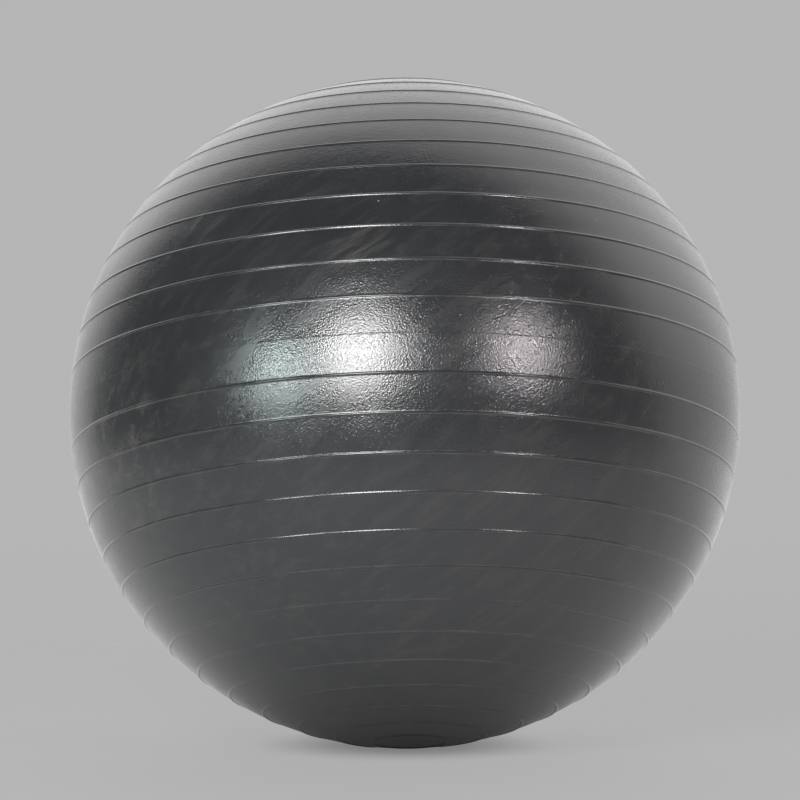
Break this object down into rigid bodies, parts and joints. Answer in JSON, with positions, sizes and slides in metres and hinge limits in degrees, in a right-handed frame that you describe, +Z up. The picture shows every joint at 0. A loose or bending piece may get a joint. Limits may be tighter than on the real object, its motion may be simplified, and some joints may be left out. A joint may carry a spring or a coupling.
{
  "type": "exercise ball",
  "caption": "Inflated exercise ball: a thin charcoal PVC skin with raised anti-slip rings, a soft valve seat at one pole and the push-in plug that seals it.",
  "frame": {"origin": "centre of the small flat that the ball's weight presses on the floor, straight below the ball's centre", "axes": "+Z up; +Y away from the side the picture shows; the pole with the valve leans 16 degrees from +Z towards +Y and 1 degree towards -X"},
  "size_m": [0.6498, 0.651, 0.6482],
  "materials": {
    "skin_pvc": "satin",
    "seat_pvc": "matte",
    "plug_plastic": "satin"
  },
  "bodies": {
    "ball": {"ball_skin": "skin_pvc", "valve_seat": "seat_pvc"},
    "plug": {"valve_plug": "plug_plastic"}
  },
  "joints": [
    {"name": "plug_pull", "type": "slide", "parent": "ball", "child": "plug", "axis": [-0.0168, 0.2756, 0.9611], "range_m": [0, 0.045]}
  ]
}
